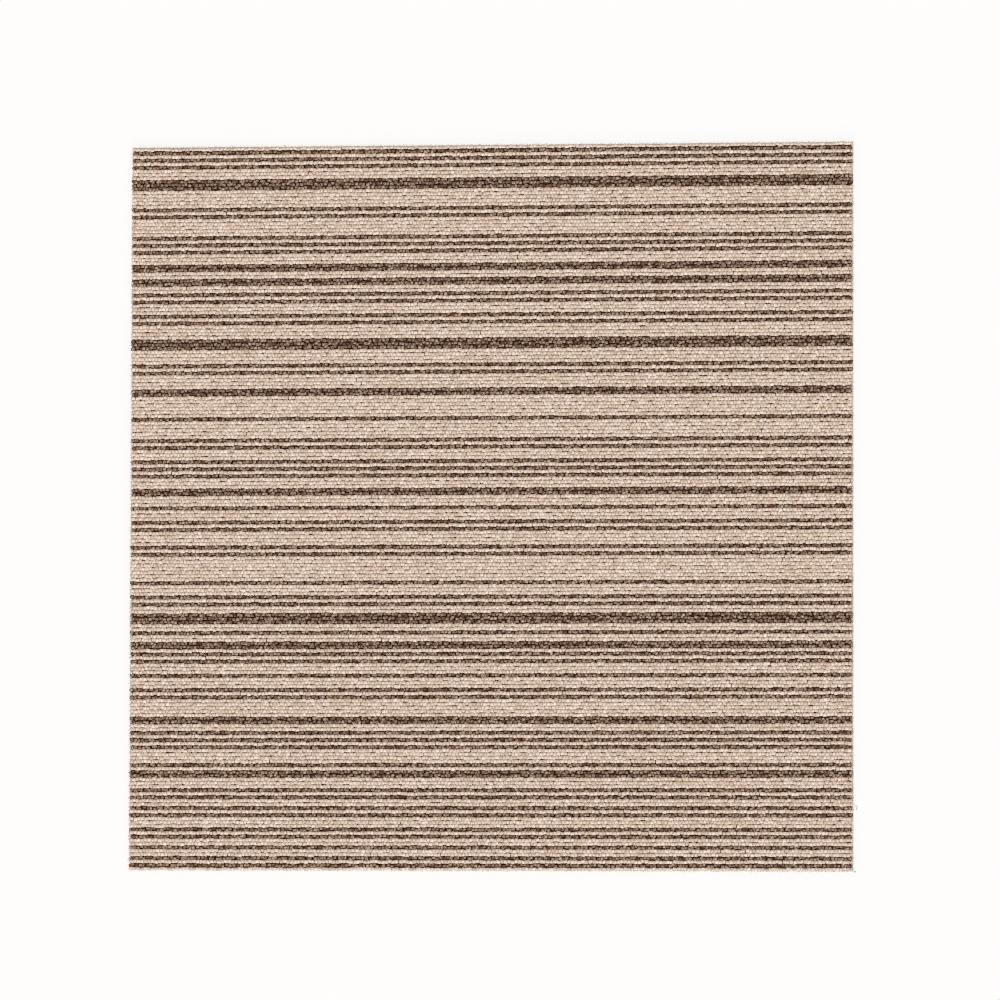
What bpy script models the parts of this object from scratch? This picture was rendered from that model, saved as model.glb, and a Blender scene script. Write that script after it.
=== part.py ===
"""Loop-pile carpet tile, 500 mm square, lying pile up on the floor.

The tile is made of two pieces. The backing is a flat sheet of filled vinyl, die-cut square.
The pile is the tufted face: straight rows of looped yarn that run along X, side by side
across Y, from one cut edge of the tile to the other. It is bonded to the backing.

Units are metres, +Z is up. The origin is at the centre of the underside.
"""

import math

import bpy

# The tile
TILE_LENGTH = 0.500  # along the yarn rows, X
TILE_WIDTH = 0.500  # across the yarn rows, Y

# The backing
BACKING_THICKNESS = 0.0030

# The bond between the backing and the tufted face
BOND_GAP = 0.0003

# The pile
PILE_HEIGHT = 0.0034  # from the bond to the crests of the loops
ROW_PITCH = 0.002463  # from one yarn row to the next: a tenth of an inch, less the shrinkage
VALLEY_DEPTH = 0.0009  # from the crest of a row down to the valley beside it
ROW_FACETS = 4  # flats that make up the rounded top of each row

# Colours, as linear red, green, blue, and roughness
PILE_COLOUR = (0.440, 0.340, 0.270, 1.0)
PILE_ROUGHNESS = 0.95
BACKING_COLOUR = (0.030, 0.030, 0.032, 1.0)
BACKING_ROUGHNESS = 0.80


def clear_scene():
    for obj in list(bpy.data.objects):
        bpy.data.objects.remove(obj, do_unlink=True)


def tile_collection():
    collection = bpy.data.collections.new("carpet_tile")
    bpy.context.scene.collection.children.link(collection)
    return collection


def surface(name, colour, roughness):
    """A plain Principled material."""
    material = bpy.data.materials.new(name)
    material.use_nodes = True
    shader = material.node_tree.nodes["Principled BSDF"]
    shader.inputs["Base Color"].default_value = colour
    shader.inputs["Roughness"].default_value = roughness
    shader.inputs["Metallic"].default_value = 0.0
    material.diffuse_color = colour
    return material


def make_backing(collection):
    """The die-cut sheet that lies on the floor."""
    bpy.ops.mesh.primitive_cube_add(size=1.0, location=(0.0, 0.0, BACKING_THICKNESS / 2))
    backing = bpy.context.active_object
    backing.name = "backing"
    backing.scale = (TILE_LENGTH, TILE_WIDTH, BACKING_THICKNESS)
    bpy.ops.object.transform_apply(location=False, rotation=False, scale=True)
    for owner in list(backing.users_collection):
        owner.objects.unlink(backing)
    collection.objects.link(backing)
    backing.data.materials.append(surface("vinyl_backing", BACKING_COLOUR, BACKING_ROUGHNESS))
    return backing


def row_tops():
    """The rounded tops of the yarn rows, as (across, height) points from the first valley to the last.

    Each row is one circular arc whose two ends lie in the valleys beside it.
    """
    row_count = max(1, round(TILE_WIDTH / ROW_PITCH))
    pitch = TILE_WIDTH / row_count
    half_pitch = pitch / 2
    radius = (half_pitch**2 + VALLEY_DEPTH**2) / (2 * VALLEY_DEPTH)
    half_angle = math.asin(min(1.0, half_pitch / radius))
    if VALLEY_DEPTH > half_pitch:
        half_angle = math.pi - half_angle
    valley_height = PILE_HEIGHT - VALLEY_DEPTH
    points = [(-TILE_WIDTH / 2, valley_height)]
    for row in range(row_count):
        middle = -TILE_WIDTH / 2 + (row + 0.5) * pitch
        for facet in range(1, ROW_FACETS):
            angle = half_angle * (2 * facet / ROW_FACETS - 1)
            height = PILE_HEIGHT - radius * (1 - math.cos(angle))
            points.append((middle + radius * math.sin(angle), height))
        points.append((middle + half_pitch, valley_height))
    return points


def make_pile(collection):
    """The tufted face, as one solid whose section across the rows is drawn and run along them."""
    outline = [(TILE_WIDTH / 2, 0.0), (-TILE_WIDTH / 2, 0.0)] + row_tops()
    curve = bpy.data.curves.new("pile", "CURVE")
    curve.dimensions = "2D"
    curve.fill_mode = "BOTH"
    curve.extrude = TILE_LENGTH / 2
    spline = curve.splines.new("POLY")
    spline.points.add(len(outline) - 1)
    for point, (across, height) in zip(spline.points, outline):
        point.co = (across, height, 0.0, 1.0)
    spline.use_cyclic_u = True
    pile = bpy.data.objects.new("pile", curve)
    # The section's own x and y become the tile's Y and Z, so that the rows run along X
    pile.rotation_euler = (math.pi / 2, 0.0, math.pi / 2)
    pile.location = (0.0, 0.0, BACKING_THICKNESS + BOND_GAP)
    curve.materials.append(surface("yarn_pile", PILE_COLOUR, PILE_ROUGHNESS))
    collection.objects.link(pile)
    return pile


clear_scene()
tile = tile_collection()
make_backing(tile)
make_pile(tile)
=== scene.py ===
import math

import bpy
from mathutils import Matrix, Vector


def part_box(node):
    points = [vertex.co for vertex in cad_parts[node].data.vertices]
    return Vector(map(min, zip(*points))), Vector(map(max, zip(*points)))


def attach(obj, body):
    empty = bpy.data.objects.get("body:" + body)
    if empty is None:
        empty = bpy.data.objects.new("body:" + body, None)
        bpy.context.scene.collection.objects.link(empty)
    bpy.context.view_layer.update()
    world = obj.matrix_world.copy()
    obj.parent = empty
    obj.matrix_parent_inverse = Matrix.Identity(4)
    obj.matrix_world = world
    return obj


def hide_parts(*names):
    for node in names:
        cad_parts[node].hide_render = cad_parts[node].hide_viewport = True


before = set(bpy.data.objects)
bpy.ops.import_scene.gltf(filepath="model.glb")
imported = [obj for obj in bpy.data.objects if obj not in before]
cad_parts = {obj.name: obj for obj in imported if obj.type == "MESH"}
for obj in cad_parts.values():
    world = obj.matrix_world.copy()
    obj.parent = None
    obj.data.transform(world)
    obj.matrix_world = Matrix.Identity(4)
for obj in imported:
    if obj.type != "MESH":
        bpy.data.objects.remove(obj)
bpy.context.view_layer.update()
scene = bpy.context.scene


# Vinyl backing. One sheet of filled vinyl, 3 mm thick, cast under the tufted cloth and die-cut
# with it. The underside keeps a fine pebbled grain that grips the floor, and the four cut sides
# show the drag lines of the knife.
VINYL_COLOUR = (0.38, 0.37, 0.355, 1.0)
VINYL_FILLER_COLOUR = (0.56, 0.545, 0.525, 1.0)
VINYL_ROUGHNESS = (0.62, 0.85)  # down in the pebbled grain, and on its crests
PEBBLE_SIZE = 0.0012
PEBBLE_DEPTH = 0.00025
FILLER_SIZE = 0.00035
FILLER_SHARE = 0.35  # how much of its own colour a speck of filler shows
KNIFE_LINE_SIZE = 0.00030
KNIFE_LINE_STRETCH = (1.0, 1.0, 40.0)
KNIFE_LINE_SHARE = 0.4


def add(tree, kind, inputs=None, **settings):
    """Adds a node, makes its choices, and gives each named or numbered input a value or a link."""
    made = tree.nodes.new(kind)
    for name, value in settings.items():
        setattr(made, name, value)
    for key, value in (inputs or {}).items():
        if isinstance(value, bpy.types.NodeSocket):
            tree.links.new(value, made.inputs[key])
        else:
            made.inputs[key].default_value = value
    return made


def sum_of(tree, operation, *values, clamp=False):
    """The result of one sum on plain numbers or on other nodes' outputs."""
    return add(
        tree, "ShaderNodeMath", dict(enumerate(values)), operation=operation, use_clamp=clamp
    ).outputs[0]


def ranged(tree, value, from_low, from_high, to_low, to_high, how="LINEAR"):
    """A value moved from one range to another and held inside it."""
    given = dict(enumerate((value, from_low, from_high, to_low, to_high)))
    return add(tree, "ShaderNodeMapRange", given, interpolation_type=how).outputs[0]


def mixed(tree, factor, first, second, blend="MIX"):
    """Two colours mixed by a factor."""
    mix = add(tree, "ShaderNodeMix", data_type="RGBA", blend_type=blend)
    for key, value in ((0, factor), (6, first), (7, second)):
        if isinstance(value, bpy.types.NodeSocket):
            tree.links.new(value, mix.inputs[key])
        else:
            mix.inputs[key].default_value = value
    return mix.outputs[2]


def group_with(name, inputs, outputs):
    """An empty shader node group with named inputs and outputs, and what gives its inputs."""
    group = bpy.data.node_groups.new(name, "ShaderNodeTree")
    for label, kind, value in inputs:
        socket = group.interface.new_socket(
            label, in_out="INPUT", socket_type="NodeSocket" + kind
        )
        socket.default_value = value
    for label, kind in outputs:
        group.interface.new_socket(
            label, in_out="OUTPUT", socket_type="NodeSocket" + kind
        )
    return group, add(group, "NodeGroupInput").outputs


def grain_group():
    """Random grain of one size in the object's own space, longer along an axis where stretched."""
    group, given = group_with(
        "grain",
        (
            ("Size", "Float", 0.001),
            ("Stretch", "Vector", (1.0, 1.0, 1.0)),
            ("Contrast", "Float", 1.0),
        ),
        (("Mask", "Float"), ("Height", "Float")),
    )
    place = add(group, "ShaderNodeTexCoord").outputs["Object"]
    place = add(
        group, "ShaderNodeVectorMath", {0: place, 1: given["Stretch"]}, operation="DIVIDE"
    ).outputs[0]
    noise = add(
        group,
        "ShaderNodeTexNoise",
        {
            "Vector": place,
            "Scale": sum_of(group, "DIVIDE", 1.0, given["Size"]),
            "Detail": 2.0,
            "Roughness": 0.6,
        },
    ).outputs["Fac"]
    stronger = sum_of(
        group, "MULTIPLY", sum_of(group, "SUBTRACT", noise, 0.5), given["Contrast"]
    )
    mask = sum_of(group, "ADD", stronger, 0.5, clamp=True)
    add(group, "NodeGroupOutput", {"Mask": mask, "Height": noise})
    return group


GRAIN = grain_group()


def grain(tree, size, stretch=(1.0, 1.0, 1.0), contrast=1.0):
    """The mask and the height of one grain in a material."""
    inputs = {"Size": size, "Stretch": stretch, "Contrast": contrast}
    return add(tree, "ShaderNodeGroup", inputs, node_tree=GRAIN).outputs


def finish_named(name, colour):
    """A new material, its node tree, and the shader in it."""
    finish = bpy.data.materials.new(name)
    finish.use_nodes = True
    finish.diffuse_color = colour
    return finish, finish.node_tree, finish.node_tree.nodes["Principled BSDF"].inputs


def vinyl_finish():
    finish, tree, shader = finish_named("filled_vinyl", VINYL_COLOUR)
    pebbles = grain(tree, PEBBLE_SIZE)
    filler = grain(tree, FILLER_SIZE, contrast=7.0)
    knife = grain(tree, KNIFE_LINE_SIZE, KNIFE_LINE_STRETCH, contrast=2.0)
    facing = add(
        tree,
        "ShaderNodeSeparateXYZ",
        {0: add(tree, "ShaderNodeNewGeometry").outputs["Normal"]},
    ).outputs[2]
    on_side = ranged(tree, sum_of(tree, "ABSOLUTE", facing), 0.3, 0.7, 1.0, 0.0)
    specks = sum_of(tree, "MULTIPLY", filler["Mask"], FILLER_SHARE)
    colour = mixed(tree, specks, VINYL_COLOUR, VINYL_FILLER_COLOUR)
    lines = sum_of(tree, "MULTIPLY", knife["Mask"], on_side)
    lines = sum_of(tree, "MULTIPLY", lines, KNIFE_LINE_SHARE)
    colour = mixed(tree, lines, colour, VINYL_FILLER_COLOUR)
    tree.links.new(colour, shader["Base Color"])
    rough = ranged(tree, pebbles["Mask"], 0.2, 0.8, *VINYL_ROUGHNESS)
    tree.links.new(rough, shader["Roughness"])
    height = add(
        tree,
        "ShaderNodeMix",
        {0: on_side, 2: pebbles["Height"], 3: knife["Height"]},
        data_type="FLOAT",
    ).outputs[0]
    bump = add(
        tree, "ShaderNodeBump", {"Height": height, "Strength": 0.6, "Distance": PEBBLE_DEPTH}
    )
    tree.links.new(bump.outputs["Normal"], shader["Normal"])
    return finish


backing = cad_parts["backing"]
_, backing_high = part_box("backing")
backing.data.materials.clear()
backing.data.materials.append(vinyl_finish())


# Tufting cloth. A plain-woven cloth of flat plastic tapes, which the needles push the yarn
# through, set in a skin of brown latex that also holds the loops from below. It shows in the gaps
# of the dark rows, where its dark brown tapes are painted shade, and as a thin ragged line along
# the cut edges, where pale fluff lies on it, painted pale also as light on that shaded ledge.
CLOTH_TOP = 0.0005  # above the underside of the pile
CLOTH_SQUARES = 60
CLOTH_RAGGEDNESS = 0.00025
RIM = 0.499  # from the middle of the tile, as a share of its size: only the outermost corners
TAPE_WIDTH = 0.0011
WEAVE_DEPTH = 0.0002
WEAVE_SHARE = 0.3
LATEX_PATCH_SIZE = 0.004
LATEX_SHARE = 0.5
LATEX_ROUGHNESS = (0.85, 0.6)  # where it is thin, and where it is thick
# The tapes' dark brown is partly painted shade, for the gaps of the dark rows where it shows.
TAPE_COLOUR_WITH_PAINTED_SHADE = (0.17, 0.10, 0.065, 1.0)
LATEX_COLOUR = (0.36, 0.25, 0.18, 1.0)
FLUFF_AND_PAINTED_LIGHT_COLOUR = (0.86, 0.79, 0.71, 1.0)  # cut fibres that lie on the cloth along its edge, paler as painted light on that shaded ledge
FLUFF_AND_PAINTED_LIGHT_REACH = (0.9935, 0.9975)  # from the middle of the tile, as shares of half its size


def node_tree(name, inputs):
    """A Geometry Nodes tree that takes and gives a mesh, with named inputs for its sizes."""
    tree = bpy.data.node_groups.new(name, "GeometryNodeTree")
    interface = tree.interface
    interface.new_socket("Mesh", in_out="OUTPUT", socket_type="NodeSocketGeometry")
    interface.new_socket("Mesh", in_out="INPUT", socket_type="NodeSocketGeometry")
    for label, kind in inputs:
        interface.new_socket(label, in_out="INPUT", socket_type="NodeSocket" + kind)
    return tree, add(tree, "NodeGroupInput").outputs


def end_tree(tree, mesh, finish):
    """Ends a tree: smooth faces, all instances made real, in the finish that it was given."""
    mesh = add(tree, "GeometryNodeSetShadeSmooth", {"Geometry": mesh}).outputs[0]
    mesh = add(tree, "GeometryNodeRealizeInstances", {"Geometry": mesh}).outputs[0]
    mesh = add(
        tree, "GeometryNodeSetMaterial", {"Geometry": mesh, "Material": finish}
    ).outputs[0]
    add(tree, "NodeGroupOutput", {0: mesh})


def piece_from(name, tree, base, sizes):
    """Runs a tree on a base mesh, and returns the plain mesh that it makes as a named piece."""
    piece = bpy.data.objects.new(name, base)
    scene.collection.objects.link(piece)
    modifier = piece.modifiers.new("shape", "NODES")
    modifier.node_group = tree
    for item in tree.interface.items_tree:
        if item.in_out == "INPUT" and item.name in sizes:
            modifier[item.identifier] = sizes[item.name]
    shaped = piece.evaluated_get(bpy.context.evaluated_depsgraph_get())
    piece.data = bpy.data.meshes.new_from_object(shaped)
    piece.data.name = name
    if piece.data.materials[0] is None:  # the slot that the base mesh stood for
        piece.data.materials.pop(index=0)
    piece.modifiers.remove(modifier)
    bpy.data.meshes.remove(base)
    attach(piece, "root")
    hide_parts("pile")
    return piece


def random_between(tree, low, high, seed, place=0):
    """A random number for each copy, always the same for the same seed."""
    return add(
        tree,
        "FunctionNodeRandomValue",
        {2: low, 3: high, "Seed": sum_of(tree, "ADD", seed, place)},
    ).outputs[1]


def joined(tree, x=0.0, y=0.0, z=0.0):
    """A vector of three numbers or other nodes' outputs."""
    return add(tree, "ShaderNodeCombineXYZ", {0: x, 1: y, 2: z}).outputs[0]


def cloth_tree():
    tree, given = node_tree(
        "tufting_cloth",
        (
            ("Length", "Float"),
            ("Width", "Float"),
            ("Level", "Float"),
            ("Thickness", "Float"),
            ("Squares", "Int"),
            ("Raggedness", "Float"),
            ("Seed", "Int"),
            ("Finish", "Material"),
        ),
    )
    corners = sum_of(tree, "ADD", given["Squares"], 1)
    sheet = add(
        tree,
        "GeometryNodeMeshGrid",
        {0: given["Length"], 1: given["Width"], 2: corners, 3: corners},
    ).outputs[0]
    place = add(
        tree, "ShaderNodeSeparateXYZ", {0: add(tree, "GeometryNodeInputPosition").outputs[0]}
    ).outputs
    across = sum_of(tree, "DIVIDE", place[0], given["Length"])
    along = sum_of(tree, "DIVIDE", place[1], given["Width"])
    furthest = sum_of(
        tree,
        "MAXIMUM",
        sum_of(tree, "ABSOLUTE", across),
        sum_of(tree, "ABSOLUTE", along),
    )
    on_rim = sum_of(tree, "GREATER_THAN", furthest, RIM)
    inward = random_between(tree, 0.0, 1.0, given["Seed"])
    inward = sum_of(tree, "MULTIPLY", inward, given["Raggedness"])
    shift = add(
        tree,
        "ShaderNodeVectorMath",
        {
            0: joined(tree, across, along),
            1: joined(tree, inward, inward),
        },
        operation="MULTIPLY",
    ).outputs[0]
    # The shares run to a half at the edges, so twice their size is a full step inwards.
    shift = add(
        tree, "ShaderNodeVectorMath", {0: shift, "Scale": -2.0}, operation="SCALE"
    ).outputs[0]
    sheet = add(
        tree, "GeometryNodeSetPosition", {0: sheet, "Selection": on_rim, "Offset": shift}
    ).outputs[0]
    sheet = add(
        tree,
        "GeometryNodeSetPosition",
        {0: sheet, "Offset": joined(tree, z=given["Level"])},
    ).outputs[0]
    lower = add(
        tree,
        "GeometryNodeExtrudeMesh",
        {
            "Mesh": sheet,
            "Offset": joined(tree, z=-1.0),
            "Offset Scale": given["Thickness"],
            "Individual": False,
        },
    ).outputs[0]
    closed = add(tree, "GeometryNodeFlipFaces", {0: sheet}).outputs[0]
    both = add(tree, "GeometryNodeJoinGeometry")
    tree.links.new(closed, both.inputs[0])
    tree.links.new(lower, both.inputs[0])
    welded = add(
        tree, "GeometryNodeMergeByDistance", {0: both.outputs[0], "Distance": 0.00001}
    ).outputs[0]
    outward = add(tree, "GeometryNodeFlipFaces", {0: welded}).outputs[0]
    end_tree(tree, outward, given["Finish"])
    return tree


def cloth_finish():
    finish, tree, shader = finish_named("latex_cloth", TAPE_COLOUR_WITH_PAINTED_SHADE)
    place = add(
        tree,
        "ShaderNodeSeparateXYZ",
        {0: add(tree, "ShaderNodeTexCoord").outputs["Object"]},
    ).outputs
    turns = [sum_of(tree, "MULTIPLY", place[i], math.pi / TAPE_WIDTH) for i in (0, 1)]
    ridges = [sum_of(tree, "SINE", turn) for turn in turns]
    over = sum_of(tree, "MULTIPLY", ridges[0], ridges[1])
    weave = ranged(tree, over, -0.4, 0.4, 0.0, 1.0)
    latex = grain(tree, LATEX_PATCH_SIZE, contrast=3.0)["Mask"]
    share = sum_of(tree, "MULTIPLY", weave, WEAVE_SHARE)
    colour = mixed(tree, share, TAPE_COLOUR_WITH_PAINTED_SHADE, LATEX_COLOUR)
    share = sum_of(tree, "MULTIPLY", latex, LATEX_SHARE)
    colour = mixed(tree, share, colour, LATEX_COLOUR)
    out = [
        sum_of(tree, "ABSOLUTE", sum_of(tree, "DIVIDE", place[i], size / 2))
        for i, size in ((0, tile_length), (1, tile_width))
    ]
    # Pale cut fluff along the edges, which also stands as painted light on the shaded ledge there.
    fluff_and_painted_light = ranged(tree, sum_of(tree, "MAXIMUM", *out), *FLUFF_AND_PAINTED_LIGHT_REACH, 0.0, 1.0)
    colour = mixed(tree, fluff_and_painted_light, colour, FLUFF_AND_PAINTED_LIGHT_COLOUR)
    tree.links.new(colour, shader["Base Color"])
    tree.links.new(ranged(tree, latex, 0.0, 1.0, *LATEX_ROUGHNESS), shader["Roughness"])
    bump = add(
        tree, "ShaderNodeBump", {"Height": weave, "Strength": 0.5, "Distance": WEAVE_DEPTH}
    )
    tree.links.new(bump.outputs["Normal"], shader["Normal"])
    return finish


pile_low, pile_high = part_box("pile")
tile_length = pile_high.x - pile_low.x
tile_width = pile_high.y - pile_low.y
cloth_level = pile_low.z + CLOTH_TOP
piece_from(
    "tufting_cloth",
    cloth_tree(),
    bpy.data.meshes.new("cloth_base"),
    {
        "Length": tile_length,
        "Width": tile_width,
        "Level": cloth_level,
        "Thickness": cloth_level - backing_high.z,
        "Squares": CLOTH_SQUARES,
        "Raggedness": CLOTH_RAGGEDNESS,
        "Seed": 3,
        "Finish": cloth_finish(),
    },
)


# Looped yarn. Two colours of crimped carpet yarn, each row tufted by one needle: the yarn comes
# up through the cloth, bends over in a loop and goes down again, a stitch further along. Every
# second row is half a stitch ahead.

# The colour of each needle's yarn, from the far edge of the tile to the near one
THREADING = (
    "L D L D L D LLL DDD LLLLL D L D LLLLL D L D L D LLL DD LL DD LL D L D LLL D L D LLLL DDD "
    "LLLL D L D LLLL DD LLLLLL D LLLLL D L D LLL D L D L D LLL DD LLL D LLL D L D LLLL D L D "
    "LLLLLLL D LLL D L D LL DDD LL D LL DD L D L D LLL D LLL D L D LLLLL DD LL D L D L D LLLL "
    "D L DD LLL D L D LL D L D LLL D L D LL D LL D L D L"
).replace(" ", "")
LOOPS_IN_ROW = 205  # whole loops; half a loop more is cut through at one end of each row
LIGHT_LOOP_WIDTH = 0.00305  # a softer yarn that spreads until its rows touch
DARK_LOOP_WIDTH = 0.00265
LOOP_STEPS = 3  # straight steps from one foot to the other
YARN_THICKNESS = 0.00155
YARN_ROUND_POINTS = 4
YARN_OPEN_ROUND = (-20.0, 220.0)  # degrees: where its open round starts, and how far it sweeps
YARN_OVER_SHOULDER = 0.283  # how high it stands over its path there, in yarn thicknesses
FOOT_SPACING = 0.00120
LIGHT_SHOULDER_SPACING = 0.00215
DARK_SHOULDER_SPACING = 0.00190
NECK = 0.80  # thickness at the foot against that at the crest
FOOT_DEPTH = 0.0003  # below the top of the cloth
SIDEWAYS_SPREAD = 0.00007
ALONG_SPREAD = 0.00012
ROW_WANDER = 0.00010
WANDER_LENGTH = 0.022
WANDER_ROW_STEP = 0.35  # how unlike the next row's wander is
LOOP_LENGTHS = (0.94, 1.06)  # against the mean
LOOP_WIDTHS = (0.90, 1.06)
TURN = 1.4  # how much further a loop turns on its feet than it leans
LIGHT_LEAN = 0.16  # radians
DARK_LEAN = 0.26
ROW_SLANT = 0.0006  # the rows lie this much out of square with the cut edges
DRAWN_BACK = 0.0007  # how far the cut yarn has drawn back from the edge
CUT_LOOP_WIDTH = 0.0023  # along all four edges, where the knife has thinned the yarn
HEIGHT_SPREAD = 0.16  # how much lower the lowest loop is than the tallest, as a share
LIGHT_STRAND = (0.60, 0.46, 0.36, 1.0)  # the darker of the light yarn's two plies
LIGHT_PALE_STRAND = (0.86, 0.74, 0.65, 1.0)
LIGHT_PAINTED_SHADE = (0.42, 0.285, 0.195, 1.0)  # painted shade, beside and between its loops
DARK_STRAND = (0.11, 0.048, 0.028, 1.0)
DARK_PALE_STRAND = (0.51, 0.375, 0.28, 1.0)
# the dark yarn's painted shade, beside and between its loops
DARK_PAINTED_SHADE = (0.050, 0.017, 0.008, 1.0)
WARM_TINT = (1.0, 0.955, 0.94, 1.0)
COOL_TINT = (0.955, 0.98, 0.92, 1.0)
TINT_LENGTH = 0.016  # how far along a row one tint lasts
TINT_ROW_STEP = 3.7  # how unlike the next row's tints are
TINT_RANGE = (0.50, 0.68)  # of the noise: the tint is absent below it and full above
CLUMP_SHARE = 0.25  # of a tint's length: how far loops are paler or darker together
FILAMENTS_ROUND = 14.0
FILAMENT_TWIST = 3.0  # how many of them the twist crosses along a loop
FILAMENT_CHANGES = 3.0  # how often one changes its shade along a loop
FILAMENT_CONTRAST = 1.2
FILAMENT_SHIFT = 90.0  # how far the tone of a loop moves it in the noise
FILAMENT_BUMPS = 4.0  # radians of the bump's wave for each filament
PLY_TURNS = (2.2, 1.3)  # along a loop, and round the yarn
PLY_SHIFT = 7.0
YARN_ROUGHNESS = (0.72, 0.95)
YARN_BUMP_DEPTH = 0.00003
# How much of the painted shade shows beside a loop, between two loops and in the grooves of a ply.
LIGHT_SHADE_SHARES = (0.85, 0.50, 0.35)
# Less of it at the cut edges, which stand in more light.
LIGHT_EDGE_SHADE_SHARES = (0.35, 0.0, 0.35)
DARK_SHADE_SHARES = (1.0, 1.0, 0.8)
DARK_EDGE_SHADE_SHARES = (0.6, 0.2, 0.8)
# Where the painted shade starts and where it is full, as shares of the way from the middle.
BESIDE = (0.17, 0.48)  # round the yarn
BETWEEN = (0.07, 0.19)  # along the loop
IN_GROOVE = (0.34, 0.5)  # across a ply
WHITE = (1.0, 1.0, 1.0, 1.0)
CELL_SPAN = (0.06, 0.94)  # how much of its square of the map a loop covers
FIRST_SEED = 40
SEED_STEP = 20  # from one lot of rows to the next


def tufting_tree():
    """Loops of yarn along rows: each given edge becomes one row, with its own number."""
    tree, given = node_tree(
        "tufting",
        (
            ("Loops", "Int"),
            ("Share of Loop", "Float"),
            ("Loop Width", "Float"),
            ("Loop Height", "Float"),
            ("Yarn Thickness", "Float"),
            ("Foot Spacing", "Float"),
            ("Shoulder Spacing", "Float"),
            ("Neck", "Float"),
            ("Sideways Spread", "Float"),
            ("Along Spread", "Float"),
            ("Wander", "Float"),
            ("Wander Length", "Float"),
            ("Lean", "Float"),
            ("Height Spread", "Float"),
            ("Tint Length", "Float"),
            ("Cells Across", "Int"),
            ("Seed", "Int"),
            ("Finish", "Material"),
        ),
    )
    seed = given["Seed"]
    # One loop: an open round of yarn, swept over an arch whose feet stand at the cloth. The
    # handles are set so that it passes through its shoulders, a third of the way from each foot:
    # 2.25, 7/6 and 1.5 come from a Bezier curve's weights there.
    foot = sum_of(tree, "MULTIPLY", given["Foot Spacing"], 0.5)
    back_foot = sum_of(tree, "MULTIPLY", foot, -1.0)
    bulge = sum_of(tree, "MULTIPLY", given["Shoulder Spacing"], 2.25)
    bulge = sum_of(tree, "MULTIPLY_ADD", foot, -7.0 / 6.0, bulge)
    back_bulge = sum_of(tree, "MULTIPLY", bulge, -1.0)
    rise = sum_of(tree, "MULTIPLY", given["Yarn Thickness"], YARN_OVER_SHOULDER)
    rise = sum_of(tree, "SUBTRACT", given["Loop Height"], rise)
    rise = sum_of(tree, "MULTIPLY", rise, 1.5)
    arch = add(
        tree,
        "GeometryNodeCurvePrimitiveBezierSegment",
        {
            "Resolution": LOOP_STEPS,
            "Start": joined(tree, back_foot),
            "Start Handle": joined(tree, back_bulge, 0.0, rise),
            "End Handle": joined(tree, bulge, 0.0, rise),
            "End": joined(tree, foot),
        },
    ).outputs[0]
    arch = add(tree, "GeometryNodeResampleCurve", {0: arch}, mode="EVALUATED").outputs[0]
    along = add(tree, "GeometryNodeInputIndex").outputs[0]
    along = sum_of(tree, "DIVIDE", along, LOOP_STEPS)
    arch = add(
        tree,
        "GeometryNodeStoreNamedAttribute",
        {"Geometry": arch, "Name": "along", "Value": along},
    ).outputs[0]
    # The yarn is full from shoulder to shoulder, and thinner towards its feet.
    from_crest = sum_of(tree, "ABSOLUTE", sum_of(tree, "SUBTRACT", along, 0.5))
    neck = ranged(tree, from_crest, 0.17, 0.5, 1.0, given["Neck"])
    arch = add(tree, "GeometryNodeSetCurveRadius", {0: arch, "Radius": neck}).outputs[0]
    round_of_yarn = add(
        tree,
        "GeometryNodeCurveArc",
        {
            "Resolution": YARN_ROUND_POINTS,
            "Radius": 0.5,
            "Start Angle": math.radians(YARN_OPEN_ROUND[0]),
            "Sweep Angle": math.radians(YARN_OPEN_ROUND[1]),
        },
    ).outputs[0]
    round_of_yarn = add(
        tree,
        "GeometryNodeTransform",
        {
            0: round_of_yarn,
            "Scale": joined(tree, given["Loop Width"], given["Yarn Thickness"], 1.0),
        },
    ).outputs[0]
    round_of_yarn = add(
        tree,
        "GeometryNodeStoreNamedAttribute",
        {
            "Geometry": round_of_yarn,
            "Name": "round",
            "Value": add(tree, "GeometryNodeSplineParameter").outputs["Factor"],
        },
    ).outputs[0]
    loop = add(
        tree,
        "GeometryNodeCurveToMesh",
        {
            "Curve": arch,
            "Profile Curve": round_of_yarn,
            "Scale": add(tree, "GeometryNodeInputRadius").outputs[0],
        },
    ).outputs[0]
    # The rows wander a little sideways, and each gets its stitches.
    rows = add(tree, "GeometryNodeMeshToCurve", {0: given["Mesh"]}).outputs[0]
    rows = add(
        tree, "GeometryNodeResampleCurve", {0: rows, "Count": given["Loops"]}
    ).outputs[0]
    place = add(tree, "GeometryNodeInputPosition").outputs[0]
    x_place = add(tree, "ShaderNodeSeparateXYZ", {0: place}).outputs[0]
    row = add(
        tree, "GeometryNodeInputNamedAttribute", {"Name": "row"}, data_type="FLOAT"
    ).outputs[0]
    wave = add(
        tree,
        "ShaderNodeTexNoise",
        {
            "Vector": joined(
                tree,
                sum_of(tree, "DIVIDE", x_place, given["Wander Length"]),
                sum_of(tree, "MULTIPLY", row, WANDER_ROW_STEP),
                seed,
            ),
            "Scale": 1.0,
            "Detail": 1.0,
        },
    ).outputs[0]
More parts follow.
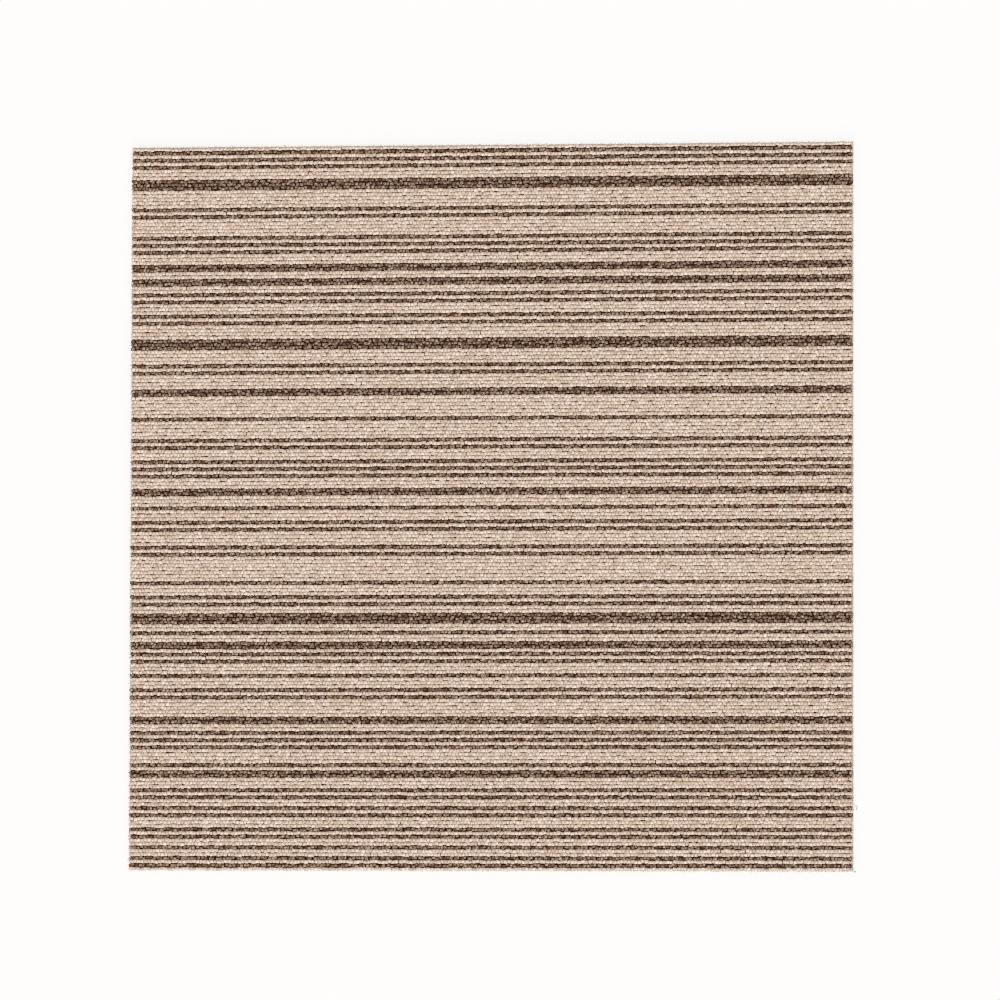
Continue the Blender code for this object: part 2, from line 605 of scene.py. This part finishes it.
    # The noise keeps within a quarter of its middle, so four times it is a full step.
    aside = sum_of(tree, "MULTIPLY", sum_of(tree, "SUBTRACT", wave, 0.5), given["Wander"])
    aside = sum_of(tree, "MULTIPLY", aside, 4.0)
    nudge = joined(
        tree,
        sum_of(
            tree,
            "MULTIPLY",
            random_between(tree, -1.0, 1.0, seed, 1),
            given["Along Spread"],
        ),
        sum_of(
            tree,
            "MULTIPLY_ADD",
            random_between(tree, -1.0, 1.0, seed, 2),
            given["Sideways Spread"],
            aside,
        ),
    )
    stitches = add(tree, "GeometryNodeCurveToPoints", {0: rows}, mode="EVALUATED").outputs[0]
    stitches = add(
        tree, "GeometryNodeSetPosition", {0: stitches, "Offset": nudge}
    ).outputs[0]
    turns = [
        sum_of(tree, "MULTIPLY", random_between(tree, -most, most, seed, draw), given["Lean"])
        for draw, most in ((3, 1.0), (4, 1.0), (5, TURN))
    ]
    turned = add(tree, "FunctionNodeEulerToRotation", {0: joined(tree, *turns)}).outputs[0]
    tallness = random_between(tree, 0.0, 1.0, seed, 6)
    tallness = sum_of(tree, "MULTIPLY", tallness, given["Height Spread"])
    tallness = sum_of(tree, "SUBTRACT", 1.0, tallness)
    longness = random_between(tree, *LOOP_LENGTHS, seed, 7)
    longness = sum_of(tree, "MULTIPLY", longness, given["Share of Loop"])
    wideness = random_between(tree, *LOOP_WIDTHS, seed, 8)
    sized = joined(tree, longness, wideness, tallness)
    loops = add(
        tree,
        "GeometryNodeInstanceOnPoints",
        {0: stitches, "Instance": loop, "Rotation": turned, "Scale": sized},
    ).outputs[0]
    number = add(tree, "GeometryNodeInputIndex").outputs[0]
    needle = sum_of(tree, "MULTIPLY", row, TINT_ROW_STEP)

    def drift(length, offset):
        """Slow change along each row, as the colours of the yarn come and go."""
        where = joined(tree, sum_of(tree, "DIVIDE", x_place, length), needle, offset)
        return add(
            tree, "ShaderNodeTexNoise", {"Vector": where, "Scale": 1.0, "Detail": 1.0}
        ).outputs[0]

    # Each drift reads the noise at another level, so none follows another.
    tint = given["Tint Length"]
    clump = drift(sum_of(tree, "MULTIPLY", tint, CLUMP_SHARE), 15.0)
    clump = ranged(tree, clump, 0.3, 0.7, 0.0, 1.0)
    tone = sum_of(tree, "ADD", random_between(tree, 0.0, 1.0, seed, 9), clump)
    for name, value in (
        ("tone", sum_of(tree, "MULTIPLY", tone, 0.5)),
        ("number", number),
        ("warm", ranged(tree, drift(tint, 0.0), *TINT_RANGE, 0.0, 1.0)),
        ("cool", ranged(tree, drift(tint, 9.0), *TINT_RANGE, 0.0, 1.0)),
    ):
        loops = add(
            tree,
            "GeometryNodeStoreNamedAttribute",
            {"Geometry": loops, "Name": name, "Value": value},
            domain="INSTANCE",
        ).outputs[0]
    made = add(tree, "GeometryNodeRealizeInstances", {0: loops}).outputs[0]

    def held(name):
        return add(
            tree, "GeometryNodeInputNamedAttribute", {"Name": name}, data_type="FLOAT"
        ).outputs[0]

    # What the finish reads: the place along and round the loop, its tone, and its tints.
    for name, parts in (
        ("place_in_loop", ("along", "round", "tone")),
        ("tints", ("warm", "cool")),
    ):
        made = add(
            tree,
            "GeometryNodeStoreNamedAttribute",
            {"Geometry": made, "Name": name, "Value": joined(tree, *map(held, parts))},
            data_type="FLOAT_VECTOR",
        ).outputs[0]
    # Each loop has its own square of the map, with most of it for the crest.
    across = given["Cells Across"]
    column = sum_of(tree, "MODULO", held("number"), across)
    line = sum_of(tree, "FLOOR", sum_of(tree, "DIVIDE", held("number"), across))
    spots = [
        sum_of(
            tree,
            "DIVIDE",
            sum_of(
                tree,
                "ADD",
                cell,
                ranged(tree, held(name), 0.0, 1.0, *CELL_SPAN, "SMOOTHERSTEP"),
            ),
            across,
        )
        for cell, name in ((column, "along"), (line, "round"))
    ]
    made = add(
        tree,
        "GeometryNodeStoreNamedAttribute",
        {"Geometry": made, "Name": "OFBake", "Value": joined(tree, *spots)},
        data_type="FLOAT2",
        domain="CORNER",
    ).outputs[0]
    end_tree(tree, made, given["Finish"])
    return tree


def yarn_group():
    """Plied carpet yarn: fine crimped filaments in two shades, twisted together, with tints that
    drift along each row, and painted shade beside its loops, between them and in its ply grooves."""
    group, given = group_with(
        "plied_yarn",
        (
            ("Strand", "Color", LIGHT_STRAND),
            ("Pale Strand", "Color", LIGHT_PALE_STRAND),
            ("Painted Shade", "Color", LIGHT_PAINTED_SHADE),
            ("Side Shade", "Float", 0.5),
            ("End Shade", "Float", 0.5),
            ("Groove Shade", "Float", 0.5),
        ),
        (("Colour", "Color"), ("Roughness", "Float"), ("Height", "Float")),
    )

    def held(name):
        stored = add(group, "ShaderNodeAttribute", attribute_name=name).outputs["Vector"]
        return add(group, "ShaderNodeSeparateXYZ", {0: stored}).outputs

    def from_middle(value):
        return sum_of(group, "ABSOLUTE", sum_of(group, "SUBTRACT", value, 0.5))

    along, round_yarn, tone = held("place_in_loop")
    warm, cool, _ = held("tints")
    # The filaments run along the yarn, with a slight twist. Each loop's own tone moves it to
    # another place in the noise, and makes it paler or darker as a whole.
    twist = sum_of(group, "MULTIPLY", along, FILAMENT_TWIST)
    twist = sum_of(group, "MULTIPLY_ADD", round_yarn, FILAMENTS_ROUND, twist)
    start = sum_of(group, "MULTIPLY", tone, FILAMENT_SHIFT)
    start = sum_of(group, "MULTIPLY_ADD", along, FILAMENT_CHANGES, start)
    filaments = add(
        group,
        "ShaderNodeTexNoise",
        {"Vector": joined(group, start, twist), "Scale": 1.0, "Detail": 1.0, "Roughness": 0.7},
        noise_dimensions="2D",
    ).outputs["Fac"]
    blend = sum_of(group, "SUBTRACT", tone, FILAMENT_CONTRAST / 2)
    blend = sum_of(group, "MULTIPLY_ADD", filaments, FILAMENT_CONTRAST, blend)
    blend = ranged(group, blend, 0.1, 0.9, 0.0, 1.0)
    colour = mixed(group, blend, given["Strand"], given["Pale Strand"])
    for amount, full_tint in ((warm, WARM_TINT), (cool, COOL_TINT)):
        tint = mixed(group, amount, WHITE, full_tint)
        colour = mixed(group, 1.0, colour, tint, "MULTIPLY")
    # The groove between two plies crosses each loop aslant, with painted shade in it.
    turn = sum_of(group, "MULTIPLY", tone, PLY_SHIFT)
    turn = sum_of(group, "MULTIPLY_ADD", along, PLY_TURNS[0], turn)
    turn = sum_of(group, "MULTIPLY_ADD", round_yarn, PLY_TURNS[1], turn)
    ply = from_middle(sum_of(group, "FRACT", turn))
    groove_shade = ranged(group, ply, *IN_GROOVE, 0.0, given["Groove Shade"], "SMOOTHSTEP")
    # Little light gets down beside a loop, or between it and the next.
    side = from_middle(round_yarn)
    side = ranged(group, side, *BESIDE, 0.0, given["Side Shade"], "SMOOTHSTEP")
    end = from_middle(along)
    end = ranged(group, end, *BETWEEN, 0.0, given["End Shade"], "SMOOTHSTEP")
    # All of this shade is painted into the colour, mixed towards the painted shade colour.
    painted_shade = sum_of(group, "MAXIMUM", groove_shade, sum_of(group, "MAXIMUM", side, end))
    colour = mixed(group, painted_shade, colour, given["Painted Shade"])
    height = sum_of(group, "SINE", sum_of(group, "MULTIPLY", twist, FILAMENT_BUMPS))
    add(
        group,
        "NodeGroupOutput",
        {
            "Colour": colour,
            "Roughness": ranged(group, filaments, 0.2, 0.8, *YARN_ROUGHNESS),
            "Height": height,
        },
    )
    return group


PLIED_YARN = yarn_group()


def yarn_finish(name, strand, pale_strand, painted_shade, side_shade_share, end_shade_share, groove_shade_share):
    finish, tree, shader = finish_named(name, pale_strand)
    made = add(
        tree,
        "ShaderNodeGroup",
        {
            "Strand": strand,
            "Pale Strand": pale_strand,
            "Painted Shade": painted_shade,
            "Side Shade": side_shade_share,
            "End Shade": end_shade_share,
            "Groove Shade": groove_shade_share,
        },
        node_tree=PLIED_YARN,
    ).outputs
    tree.links.new(made["Colour"], shader["Base Color"])
    tree.links.new(made["Roughness"], shader["Roughness"])
    bump = add(
        tree,
        "ShaderNodeBump",
        {"Height": made["Height"], "Strength": 0.7, "Distance": YARN_BUMP_DEPTH},
    )
    tree.links.new(bump.outputs["Normal"], shader["Normal"])
    shader["Specular IOR Level"].default_value = 0.0
    return finish


row_pitch = tile_width / len(THREADING)  # from one row to the next
row_start = pile_low.x + DRAWN_BACK
stitch = (tile_length - 2 * DRAWN_BACK) / (LOOPS_IN_ROW + 0.5)  # from one loop to the next


def needle_rows(rows, cut):
    """The base of some rows: one straight edge for each, from its first whole loop to its last,
    or a short one at its cut loop."""
    mesh = bpy.data.meshes.new("needle_rows")
    ends = []
    for row in rows:
        ahead = 0.5 * (row % 2)
        first = row_start + stitch * (0.5 + ahead)
        last = first + stitch * (LOOPS_IN_ROW - 1)
        if cut:
            first = row_start + stitch * (0.25 + (LOOPS_IN_ROW if row % 2 == 0 else 0.0))
            last = first + stitch
        level = cloth_level - FOOT_DEPTH
        middle = pile_high.y - (row + 0.5) * row_pitch
        for x in (first, last):
            slant = ROW_SLANT * (x - pile_high.x) / tile_length
            ends.append((x, middle + slant, level))
    mesh.from_pydata(ends, [(i, i + 1) for i in range(0, len(ends), 2)], [])
    numbers = mesh.attributes.new("row", "FLOAT", "POINT")
    for i, row in enumerate(rows):
        numbers.data[2 * i].value = numbers.data[2 * i + 1].value = float(row)
    return mesh


light_rows = [i for i, colour in enumerate(THREADING) if colour == "L"]
dark_rows = [i for i, colour in enumerate(THREADING) if colour == "D"]
light_shades = (LIGHT_STRAND, LIGHT_PALE_STRAND, LIGHT_PAINTED_SHADE)
dark_shades = (DARK_STRAND, DARK_PALE_STRAND, DARK_PAINTED_SHADE)
# The finishes at the edges are copies with less painted shade, as more light reaches the cut
# edges.
light_finish = yarn_finish("light_yarn", *light_shades, *LIGHT_SHADE_SHARES)
light_edge_finish = yarn_finish("light_yarn_at_edges", *light_shades, *LIGHT_EDGE_SHADE_SHARES)
dark_finish = yarn_finish("dark_yarn", *dark_shades, *DARK_SHADE_SHARES)
dark_edge_finish = yarn_finish("dark_yarn_at_edges", *dark_shades, *DARK_EDGE_SHADE_SHARES)
TUFTING = tufting_tree()
LIGHT = (LIGHT_LOOP_WIDTH, LIGHT_SHOULDER_SPACING, LIGHT_LEAN)
CUT_LIGHT = (CUT_LOOP_WIDTH, LIGHT_SHOULDER_SPACING, LIGHT_LEAN)
DARK = (DARK_LOOP_WIDTH, DARK_SHOULDER_SPACING, DARK_LEAN)
CUT_DARK = (CUT_LOOP_WIDTH, DARK_SHOULDER_SPACING, DARK_LEAN)
# Each lot of rows: its name, its rows, whether they are cut loops, their shape and their finish.
lots = (
    ("light_yarn_far", light_rows[1:45], False, LIGHT, light_finish),
    ("light_yarn_middle", light_rows[45:89], False, LIGHT, light_finish),
    ("light_yarn_near", light_rows[89:-1], False, LIGHT, light_finish),
    ("light_yarn_at_edges", [light_rows[0], light_rows[-1]], False, CUT_LIGHT, light_edge_finish),
    ("dark_yarn_far", dark_rows[:35], False, DARK, dark_finish),
    ("dark_yarn_near", dark_rows[35:], False, DARK, dark_finish),
    ("light_cut_loops", light_rows, True, CUT_LIGHT, light_edge_finish),
    ("dark_cut_loops", dark_rows, True, CUT_DARK, dark_edge_finish),
)
for number, (name, rows, cut, (width, shoulders, lean), finish) in enumerate(lots):
    loops = 1 if cut else LOOPS_IN_ROW
    piece_from(
        name,
        TUFTING,
        needle_rows(rows, cut),
        {
            "Loops": loops,
            "Share of Loop": 0.5 if cut else 1.0,
            "Loop Width": width,
            "Loop Height": pile_high.z - cloth_level + FOOT_DEPTH,
            "Yarn Thickness": YARN_THICKNESS,
            "Foot Spacing": FOOT_SPACING,
            "Shoulder Spacing": shoulders,
            "Neck": NECK,
            "Sideways Spread": SIDEWAYS_SPREAD,
            "Along Spread": ALONG_SPREAD,
            "Wander": ROW_WANDER,
            "Wander Length": WANDER_LENGTH,
            "Lean": lean,
            "Height Spread": HEIGHT_SPREAD,
            "Tint Length": TINT_LENGTH,
            "Cells Across": math.ceil(math.sqrt(len(rows) * loops)),
            "Seed": FIRST_SEED + SEED_STEP * number,
            "Finish": finish,
        },
    )


# Frayed edges. The tile is die-cut from a wide roll, so along its four sides the yarn is cut
# through, and single filaments of it stand out as a short soft fringe. A few longer ends have
# come loose: a dark one low on the right side, and pale ones at the two right corners.
FILAMENT_LENGTH = 0.0019
FILAMENT_THICKNESS = 0.00017
FILAMENT_SPACING = 0.0003  # along the edge
FRINGE_TOP = 0.0005  # below the top of the pile, like the next
FRINGE_BOTTOM = 0.0034
FILAMENT_LEAN = 0.7  # radians
FILAMENT_ARCH = (0.5, 0.2)  # where it is bent, along and up, as shares of its length
FILAMENT_LENGTHS = (0.35, 1.0)  # the shortest and the longest, as shares
FILAMENT_INSET = 0.3  # how much of its length is rooted inside the edge, as a share
# Each loose end: its thickness, and its route in millimetres out from the right edge, up from the
# near edge and above the floor.
LOOSE_DARK_END = (
    0.00044,
    ((-0.4, 45.4, 3.0), (0.8, 45.4, 2.2), (1.9, 44.9, 1.6), (2.7, 43.5, 1.0), (2.0, 42.0, 0.5)),
)
LOOSE_FAR_END = (
    0.00030,
    ((-2.6, 498.9, 6.2), (-0.8, 500.3, 5.6), (0.6, 500.0, 5.0), (2.3, 498.8, 4.2)),
)
LOOSE_NEAR_END = (
    0.00100,
    ((-1.6, 1.2, 5.4), (-0.6, 0.2, 4.8), (0.4, -0.5, 3.4), (1.2, -0.6, 2.2), (1.5, 0.2, 1.2)),
)


def yarn_attributes(tree, mesh, seed):
    """Gives fine fibres what the yarn's finish reads, as on the crest of a loop."""
    # On the crest, the painted shade beside and between loops stays off these fibres.
    tone = random_between(tree, 0.4, 1.0, seed, 9)
    return add(
        tree,
        "GeometryNodeStoreNamedAttribute",
        {"Geometry": mesh, "Name": "place_in_loop", "Value": joined(tree, 0.5, 0.5, tone)},
        data_type="FLOAT_VECTOR",
    ).outputs[0]


def fringe_tree():
    """Bent filaments along given edges, which point the way that each edge faces."""
    tree, given = node_tree(
        "fringe",
        (
            ("Filament Length", "Float"),
            ("Thickness", "Float"),
            ("Spacing", "Float"),
            ("Height", "Float"),
            ("Lean", "Float"),
            ("Seed", "Int"),
            ("Finish", "Material"),
        ),
    )
    seed = given["Seed"]
    length = given["Filament Length"]
    out, up = (sum_of(tree, "MULTIPLY", length, share) for share in FILAMENT_ARCH)
    bent = joined(tree, out, 0.0, up)
    path = add(
        tree,
        "GeometryNodeCurveQuadraticBezier",
        {"Resolution": 2, "Start": (0.0, 0.0, 0.0), "Middle": bent, "End": joined(tree, length)},
    ).outputs[0]
    path = add(tree, "GeometryNodeSetCurveRadius", {0: path, "Radius": 1.0}).outputs[0]
    round_of_filament = add(
        tree,
        "GeometryNodeCurvePrimitiveCircle",
        {"Resolution": 3, "Radius": sum_of(tree, "MULTIPLY", given["Thickness"], 0.5)},
    ).outputs[0]
    filament = add(
        tree,
        "GeometryNodeCurveToMesh",
        {"Curve": path, "Profile Curve": round_of_filament},
    ).outputs[0]
    edges = add(tree, "GeometryNodeMeshToCurve", {0: given["Mesh"]}).outputs[0]
    edges = add(
        tree,
        "GeometryNodeResampleCurve",
        {0: edges, "Length": given["Spacing"]},
        mode="LENGTH",
    ).outputs[0]
    roots = add(tree, "GeometryNodeCurveToPoints", {0: edges}, mode="EVALUATED").outputs[0]
    lift = sum_of(tree, "MULTIPLY", random_between(tree, -1.0, 0.0, seed, 1), given["Height"])
    roots = add(
        tree, "GeometryNodeSetPosition", {0: roots, "Offset": joined(tree, z=lift)}
    ).outputs[0]
    facing = add(
        tree, "GeometryNodeInputNamedAttribute", {"Name": "facing"}, data_type="FLOAT"
    ).outputs[0]
    yaw = sum_of(tree, "MULTIPLY", random_between(tree, -1.3, 1.3, seed, 2), given["Lean"])
    tilt = sum_of(tree, "MULTIPLY", random_between(tree, -1.0, 0.8, seed, 3), given["Lean"])
    roll = random_between(tree, -3.0, 3.0, seed, 4)
    turned = add(
        tree,
        "FunctionNodeEulerToRotation",
        {0: joined(tree, roll, tilt, sum_of(tree, "ADD", facing, yaw))},
    ).outputs[0]
    longness = random_between(tree, *FILAMENT_LENGTHS, seed, 5)
    sized = joined(tree, longness, 1.0, 1.0)
    fringe = add(
        tree,
        "GeometryNodeInstanceOnPoints",
        {0: roots, "Instance": filament, "Rotation": turned, "Scale": sized},
    ).outputs[0]
    fringe = add(tree, "GeometryNodeRealizeInstances", {0: fringe}).outputs[0]
    end_tree(tree, yarn_attributes(tree, fringe, seed), given["Finish"])
    return tree


def loose_end_tree():
    """One round end of yarn along a given route, thinner at its root."""
    tree, given = node_tree(
        "loose_end", (("Thickness", "Float"), ("Seed", "Int"), ("Finish", "Material"))
    )
    path = add(tree, "GeometryNodeMeshToCurve", {0: given["Mesh"]}).outputs[0]
    path = add(
        tree, "GeometryNodeCurveSplineType", {0: path}, spline_type="CATMULL_ROM"
    ).outputs[0]
    path = add(tree, "GeometryNodeResampleCurve", {0: path, "Count": 14}).outputs[0]
    out = add(tree, "GeometryNodeSplineParameter").outputs["Factor"]
    thinner = ranged(tree, out, 0.0, 0.7, 0.5, 1.0)
    path = add(tree, "GeometryNodeSetCurveRadius", {0: path, "Radius": thinner}).outputs[0]
    round_of_yarn = add(
        tree,
        "GeometryNodeCurvePrimitiveCircle",
        {"Resolution": 7, "Radius": sum_of(tree, "MULTIPLY", given["Thickness"], 0.5)},
    ).outputs[0]
    yarn = add(
        tree,
        "GeometryNodeCurveToMesh",
        {
            "Curve": path,
            "Profile Curve": round_of_yarn,
            "Scale": add(tree, "GeometryNodeInputRadius").outputs[0],
            "Fill Caps": True,
        },
    ).outputs[0]
    end_tree(tree, yarn_attributes(tree, yarn, given["Seed"]), given["Finish"])
    return tree


def row_edges(rows, near_and_far):
    """The base of a fringe: an edge across each end of a row, and along the first and last."""
    top = pile_high.z - FRINGE_TOP
    inset = FILAMENT_LENGTH * FILAMENT_INSET
    lines = []
    for row in rows:
        start = pile_high.y - row * row_pitch
        for x, facing in ((pile_low.x + inset, math.pi), (pile_high.x - inset, 0.0)):
            slant = ROW_SLANT * (x - pile_high.x) / tile_length
            far, near = (start - share * row_pitch + slant for share in (0.1, 0.9))
            lines.append(((x, far), (x, near), facing))
    if near_and_far:
        for y, facing in ((pile_high.y - inset, math.pi / 2), (pile_low.y + inset, -math.pi / 2)):
            lines.append(((pile_low.x, y), (pile_high.x, y), facing))
    mesh = bpy.data.meshes.new("row_edges")
    ends = [(x, y, top) for line in lines for x, y in line[:2]]
    mesh.from_pydata(ends, [(i, i + 1) for i in range(0, len(ends), 2)], [])
    facings = mesh.attributes.new("facing", "FLOAT", "POINT")
    for i, line in enumerate(lines):
        facings.data[2 * i].value = facings.data[2 * i + 1].value = line[2]
    return mesh


def route(points):
    """The base of a loose end, from a route measured off the near right corner."""
    mesh = bpy.data.meshes.new("route")
    places = [
        (pile_high.x + out / 1000, pile_low.y + up / 1000, level / 1000)
        for out, up, level in points
    ]
    mesh.from_pydata(places, [(i, i + 1) for i in range(len(places) - 1)], [])
    return mesh


FRINGE = fringe_tree()
for name, rows, near_and_far, finish in (
    ("light_fringe", light_rows, True, light_edge_finish),
    ("dark_fringe", dark_rows, False, dark_edge_finish),
):
    piece_from(
        name,
        FRINGE,
        row_edges(rows, near_and_far),
        {
            "Filament Length": FILAMENT_LENGTH,
            "Thickness": FILAMENT_THICKNESS,
            "Spacing": FILAMENT_SPACING,
            "Height": FRINGE_BOTTOM - FRINGE_TOP,
            "Lean": FILAMENT_LEAN,
            "Seed": 7,
            "Finish": finish,
        },
    )

LOOSE_END = loose_end_tree()
for name, (thickness, points), finish in (
    ("loose_dark_end", LOOSE_DARK_END, dark_edge_finish),
    ("loose_far_end", LOOSE_FAR_END, light_edge_finish),
    ("loose_near_end", LOOSE_NEAR_END, light_edge_finish),
):
    piece_from(
        name,
        LOOSE_END,
        route(points),
        {"Thickness": thickness, "Seed": 5, "Finish": finish},
    )


# Studio. A plain white floor under a white tent, which glows evenly and is brightest where a wide
# soft lamp stands behind its near side. The camera stands high over the tile and looks down on it.
CAMERA_PLACE = (0.5495, -0.2429, 5.0)
CAMERA_TURN = (2.835, 6.192, 0.134)  # degrees
CAMERA_LENS = 263.12
PIXEL_BLUR = 0.9
FLOOR_SIZE = 16.0
FLOOR_COLOUR = (0.10, 0.10, 0.10, 1.0)
FLOOR_GLOW_COLOUR = (1.0, 0.985, 0.975, 1.0)
FLOOR_GLOW = 0.88
TENT_COLOUR = (1.0, 0.994, 0.988, 1.0)
TENT_GLOW = 0.78
LAMP_GLOW = 2.0  # on top of the tent's own, at the middle of the lamp
LAMP_AT = (0.08, -0.68, 0.73)  # where it stands as seen from the tile
LAMP_EDGE = 0.70  # cosine of the angle from the lamp's middle to where its glow ends

floor_mesh = bpy.data.meshes.new("floor")
half = FLOOR_SIZE / 2
floor_mesh.from_pydata(
    [(-half, -half, 0.0), (half, -half, 0.0), (half, half, 0.0), (-half, half, 0.0)],
    [],
    [(0, 1, 2, 3)],
)
floor = bpy.data.objects.new("floor", floor_mesh)
scene.collection.objects.link(floor)
floor_finish, _, floor_shader = finish_named("white_floor", FLOOR_COLOUR)
floor_shader["Base Color"].default_value = FLOOR_COLOUR
floor_shader["Roughness"].default_value = 0.9
floor_shader["Specular IOR Level"].default_value = 0.0
floor_shader["Emission Color"].default_value = FLOOR_GLOW_COLOUR
floor_shader["Emission Strength"].default_value = FLOOR_GLOW
floor_mesh.materials.append(floor_finish)

tent = bpy.data.worlds.new("white_tent")
scene.world = tent
tent.use_nodes = True
tent_tree = tent.node_tree
direction = add(tent_tree, "ShaderNodeTexCoord").outputs["Generated"]
toward = add(
    tent_tree, "ShaderNodeVectorMath", {0: direction, 1: LAMP_AT}, operation="DOT_PRODUCT"
).outputs["Value"]
glow = ranged(
    tent_tree, toward, LAMP_EDGE, 1.0, TENT_GLOW, TENT_GLOW + LAMP_GLOW, "SMOOTHSTEP"
)
backdrop = tent_tree.nodes["Background"].inputs
backdrop["Color"].default_value = TENT_COLOUR
tent_tree.links.new(glow, backdrop["Strength"])
# The tent and the floor are wide and even, so chance rays find them well enough.
tent.cycles.sampling_method = "NONE"
floor_finish.cycles.emission_sampling = "NONE"
scene.cycles.diffuse_bounces = 2

lens = bpy.data.cameras.new("camera")
lens.lens = CAMERA_LENS
lens.clip_end = 50.0
camera = bpy.data.objects.new("camera", lens)
camera.location = CAMERA_PLACE
camera.rotation_euler = [math.radians(turn) for turn in CAMERA_TURN]
scene.collection.objects.link(camera)
scene.camera = camera
scene.view_settings.view_transform = "Standard"
scene.cycles.filter_width = PIXEL_BLUR
scene.cycles.denoising_prefilter = "FAST"
